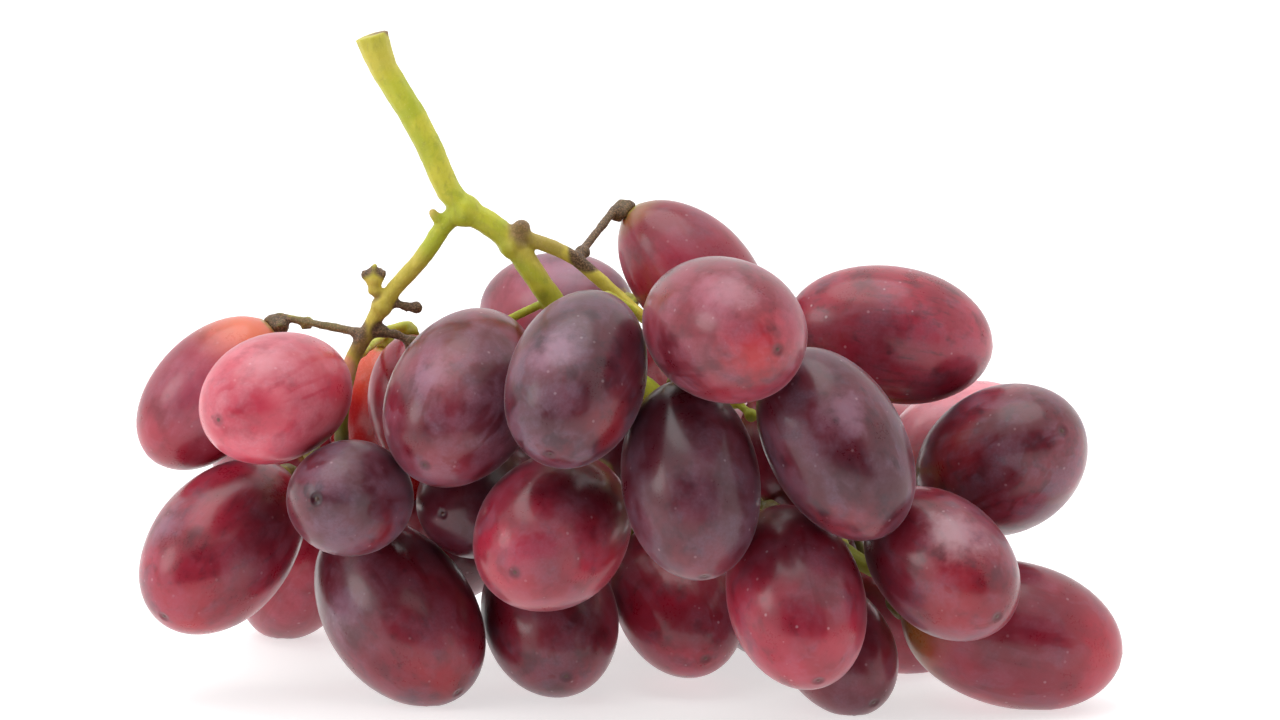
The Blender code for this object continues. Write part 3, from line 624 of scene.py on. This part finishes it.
def paint_stem(thing, berries):
    """How dried, brown or golden each place on the stem is, and how much painted shade it has, as
    attributes of its points.
    """
    points = mesh_points(thing.data)
    named = {berry.name: berry for berry in berries}
    dried = np.zeros(len(points))
    brown = np.zeros(len(points))
    gold = np.zeros(len(points))
    blush = np.zeros(len(points))

    def mark(layer, start, end, radius, soft, strength=1.0):
        value = strength * near_line(points, start, end, radius * MM, soft * MM)
        np.maximum(layer, value, out=layer)

    # Dried pedicels of the outermost berry of the wing and of the shoulder's top one.
    mark(dried, named["wing_1"].stem_end, at(-37.2, 0, 48.4), 1.3, 1.0, 0.9)
    mark(dried, named["wing_1"].stem_end, named["wing_1"].stem_end + [0.002, 0, 0], 1.7, 0.6)
    mark(dried, named["shoulder_2"].stem_end, at(-6.8, 0, 58.9), 2.4, 0.7)
    mark(brown, at(-7.4, 0.5, 58.2), at(-5.0, 0.8, 60.0), 1.3, 1.0, 0.8)
    # Dried stubs.
    mark(dried, at(-36.4, 0, 56.2), at(-33.2, 0, 56.2), 0.7, 0.6)
    mark(gold, at(-34.8, 0, 54.5), at(-34.6, 0, 52.6), 1.4, 1.0, 0.9)
    mark(brown, at(-34.7, 0, 53.0), at(-34.7, 0, 53.1), 0.7, 0.7, 0.6)
    mark(dried, at(-31.6, 0, 51.8), at(-28.6, 0, 51.4), 0.8, 0.5)
    mark(dried, at(-34.2, 0, 48.5), at(-29.5, 0, 46.4), 1.2, 0.8)
    mark(brown, at(-15.6, -0.5, 62.3), at(-16.0, -0.5, 60.8), 1.0, 1.1, 0.95)
    mark(dried, at(-15.6, -0.8, 62.8), at(-15.6, -0.8, 62.9), 0.3, 0.7, 0.6)
    mark(brown, at(-14.2, 0, 61.0), at(-11.0, 0, 59.9), 0.9, 1.2, 0.45)
    mark(blush, at(-27.0, -0.6, 64.0), at(-27.2, -0.6, 64.4), 0.4, 0.6, 0.4)
    # The cut end, the knots of the wing, and the golden branches.
    mark(brown, at(-37, 0, 88.6), at(-33, 0, 88.6), 0.9, 0.7)
    mark(gold, at(-35, 0, 87.5), at(-34, 0, 85.5), 2.2, 3.0, 0.5)
    mark(gold, at(-31, 0, 56.0), at(-36.5, 0, 47.0), 2.4, 3.0, 0.85)
    mark(brown, at(-36.6, -0.3, 46.4), at(-37.6, -0.3, 48.2), 0.8, 1.6, 0.75)
    mark(brown, at(-38.3, -0.5, 43.0), at(-38.9, -0.5, 41.0), 0.6, 1.4, 0.45)
    mark(gold, at(-15.0, 0, 60.8), at(9, 1, 45.5), 2.2, 1.6, 0.85)
    mark(brown, at(2.0, 0, 48.9), at(4.4, 0, 47.4), 0.4, 1.4, 0.4)
    mark(blush, named["wing_2"].stem_end, named["wing_2"].stem_end + [0.001, 0, 0.001], 1.6, 1.0)
    for berry in berries:
        mark(brown, berry.stem_end, berry.stem_end - berry.axis * 0.0003, 1.3, 0.7, 0.45)
    # Painted shade: wood deep inside the bunch is darker than the green branches on top of it, where the
    # berries shade it.
    crowd = np.zeros(len(points))
    for berry in berries:
        crowd += ((points - berry.middle) ** 2).sum(1) < CROWD_RADIUS ** 2
    depth = np.clip((DEEP_BELOW - points[:, 2]) / (6 * MM), 0, 1)
    shade = np.clip((crowd - 1) / 2, 0, 1) * depth * 0.9
    layers = {"dried": dried, "brown": brown, "gold": gold, "blush": blush, "shade": shade}
    for name, layer in layers.items():
        attribute = thing.data.attributes.new(name, "FLOAT", "POINT")
        attribute.data.foreach_set("value", layer.astype(np.float32))


def stem_material():
    shader = Shader("stem_green")
    surface = shader.surface
    places = shader.places()

    def layer(name):
        node = shader.add("ShaderNodeAttribute", attribute_name=name)
        return node.outputs["Fac"]

    grain = shader.mapped(places, scale=(1.0, 1.0, 0.35), turn=(0, 0.45, 0))
    broad = shader.noise(places, 160, 3, 0.5, 0.5)
    patch = shader.noise(places, 520, 4, 0.6, 0.6)
    fibres = shader.noise(grain, 1900, 4, 0.6, 0.2)
    fine = shader.noise(places, 4200, 3, 0.6)
    green = shader.mix(shader.rise(broad, 0.36, 0.66), (0.46, 0.50, 0.022), (0.64, 0.60, 0.040))
    green = shader.mix(shader.rise(patch, 0.50, 0.72, 0.0, 0.55), green, (0.34, 0.40, 0.018))
    gold = shader.mix(shader.rise(patch, 0.38, 0.66), (0.56, 0.44, 0.05), (0.68, 0.54, 0.08))
    colour = shader.mix(layer("gold"), green, gold)
    colour = shader.mix(shader.rise(fibres, 0.50, 0.74, 0.0, 0.30), colour, (0.30, 0.24, 0.04))
    pale = shader.rise(fine, 0.56, 0.74, 0.0, 0.35)
    colour = shader.mix(pale, colour, (0.70, 0.64, 0.18))
    # Painted shade on the wood deep inside the bunch.
    colour = shader.mix(layer("shade"), colour, (0.10, 0.085, 0.02))
    uneven = shader.math("ADD", shader.math("MULTIPLY", patch, 0.5), shader.math("MULTIPLY", fine, 0.5))
    uneven = shader.math("SUBTRACT", uneven, 0.5)
    brown_share = shader.math("ADD", layer("brown"), shader.math("MULTIPLY", uneven, 0.9), clamp=True)
    brown_share = shader.math("MULTIPLY", brown_share, shader.rise(layer("brown"), 0.02, 0.3))
    brown = shader.mix(shader.rise(fine, 0.4, 0.65), (0.16, 0.085, 0.03), (0.33, 0.19, 0.07))
    colour = shader.mix(brown_share, colour, brown)
    dried_share = shader.math("ADD", layer("dried"), shader.math("MULTIPLY", uneven, 0.8), clamp=True)
    dried_share = shader.math("MULTIPLY", dried_share, shader.rise(layer("dried"), 0.02, 0.3))
    dried = shader.mix(shader.rise(fine, 0.42, 0.66), (0.060, 0.028, 0.012), (0.27, 0.15, 0.065))
    colour = shader.mix(dried_share, colour, dried)
    colour = shader.mix(layer("blush"), colour, (0.75, 0.36, 0.20))
    shader.put(surface.inputs["Base Color"], colour)
    rough = shader.math("ADD", shader.math("MULTIPLY", fibres, 0.3), 0.36)
    shader.put(surface.inputs["Roughness"], rough)
    surface.inputs["Subsurface Weight"].default_value = 0.2
    surface.inputs["Subsurface Radius"].default_value = (0.8, 0.9, 0.2)
    surface.inputs["Subsurface Scale"].default_value = 0.0012
    surface.inputs["Sheen Weight"].default_value = 0.08
    height = shader.math("ADD", shader.math("MULTIPLY", fibres, 0.6), shader.math("MULTIPLY", fine, 0.4))
    shader.bump(height, 0.6, 0.00015)
    return shader.material


# ---------------------------------------------------------------- studio
def build_studio():
    scene = bpy.context.scene
    scene.view_settings.view_transform = "Standard"
    scene.view_settings.look = "None"
    world = bpy.data.worlds.new("studio")
    world.use_nodes = True
    world.node_tree.nodes["Background"].inputs["Color"].default_value = (1, 1, 1, 1)
    world.node_tree.nodes["Background"].inputs["Strength"].default_value = 1.0
    scene.world = world

    shader = Shader("floor_white")
    shader.surface.inputs["Base Color"].default_value = (0.60, 0.59, 0.59, 1)
    shader.surface.inputs["Emission Color"].default_value = (1, 1, 1, 1)
    shader.surface.inputs["Emission Strength"].default_value = 0.62
    shader.surface.inputs["Roughness"].default_value = 0.6
    shader.surface.inputs["Specular IOR Level"].default_value = 0.2
    plane = bpy.data.meshes.new("floor")
    half = FLOOR_HALF
    plane.from_pydata([(-half, -half, 0), (half, -half, 0), (half, half, 0), (-half, half, 0)],
                      [], [(0, 1, 2, 3)])
    plane.materials.append(shader.material)
    floor = bpy.data.objects.new("floor", plane)
    scene.collection.objects.link(floor)

    def softbox(name, place, size, power, look_at=(0, 0, 0.03)):
        light = bpy.data.lights.new(name, "AREA")
        light.shape = "DISK"
        light.size = size
        light.energy = power
        thing = bpy.data.objects.new(name, light)
        thing.location = place
        aim = Vector(look_at) - Vector(place)
        thing.rotation_euler = aim.to_track_quat("-Z", "Y").to_euler()
        scene.collection.objects.link(thing)

    softbox("softbox_top", (-0.12, -0.02, 0.85), 0.80, 3.0)
    softbox("softbox_side", (-0.75, -0.30, 0.40), 0.40, 1.2)

    # A dark screen behind the camera, which it can't see, shades the berries' near side.
    shader = Shader("screen_dark")
    shader.surface.inputs["Base Color"].default_value = (0.02, 0.02, 0.02, 1)
    shader.surface.inputs["Roughness"].default_value = 0.9
    panel = bpy.data.meshes.new("screen")
    panel.from_pydata([(-0.9, -1.0, 0.02), (0.9, -1.0, 0.02), (0.9, -1.0, 1.0), (-0.9, -1.0, 1.0)],
                      [], [(0, 1, 2, 3)])
    panel.materials.append(shader.material)
    screen = bpy.data.objects.new("screen", panel)
    screen.visible_camera = False
    screen.visible_shadow = False
    scene.collection.objects.link(screen)

    camera = bpy.data.cameras.new("camera")
    camera.lens = CAMERA_LENS
    camera.sensor_width = 36
    thing = bpy.data.objects.new("camera", camera)
    target = Vector(CAMERA_TARGET)
    rise = math.radians(CAMERA_ELEVATION)
    thing.location = target - CAMERA_DISTANCE * Vector((0, math.cos(rise), -math.sin(rise)))
    thing.rotation_euler = (target - thing.location).to_track_quat("-Z", "Y").to_euler()
    camera.clip_start = 0.01
    camera.clip_end = 100
    scene.collection.objects.link(thing)
    scene.camera = thing


def main():
    stem_points = mesh_points(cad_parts["stem"].data)
    berries = build_berries(stem_points)
    stem = stem_object(berries)
    paint_stem(stem, berries)
    stem.data.materials.clear()
    stem.data.materials.append(stem_material())
    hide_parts("stem")
    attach(stem, "root")
    build_studio()


main()
